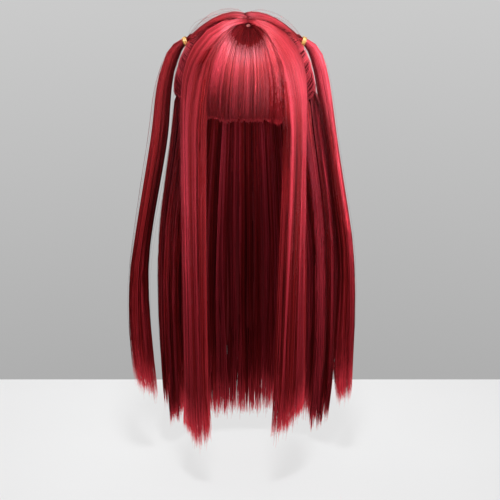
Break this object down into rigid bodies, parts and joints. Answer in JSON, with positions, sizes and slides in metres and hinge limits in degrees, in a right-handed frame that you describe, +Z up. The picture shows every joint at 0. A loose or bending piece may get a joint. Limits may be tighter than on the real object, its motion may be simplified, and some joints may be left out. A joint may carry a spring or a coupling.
{
  "type": "cosplay wig",
  "caption": "Long straight red costume wig in a half-up style: hollow cap, blunt fringe, side locks, loose hair behind and tied tails at the sides.",
  "frame": {"origin": "inside top of the cap, where it sits on the crown of the head", "axes": "+Z up, the face side looks along -Y, +X to the right as seen from the front"},
  "size_m": [0.3197, 0.2033, 0.6266],
  "materials": {
    "hair": "glossy straight fibre",
    "cap": "matte stretch net",
    "elastic": "satin",
    "scalp": "matte skin tone"
  },
  "bodies": {
    "root": {"wig_cap": "cap", "scalp_patch": "scalp", "bangs": "hair", "sidelock_left": "hair", "sidelock_right": "hair", "gather_left": "hair", "gather_right": "hair", "tail_left": "hair", "tail_right": "hair", "back_lock_left_1": "hair", "back_lock_left_2": "hair", "back_lock_left_3": "hair", "back_lock_left_4": "hair", "back_lock_middle": "hair", "back_lock_right_1": "hair", "back_lock_right_2": "hair", "back_lock_right_3": "hair", "back_lock_right_4": "hair", "hair_tie_left": "elastic", "hair_tie_right": "elastic"}
  },
  "joints": []
}
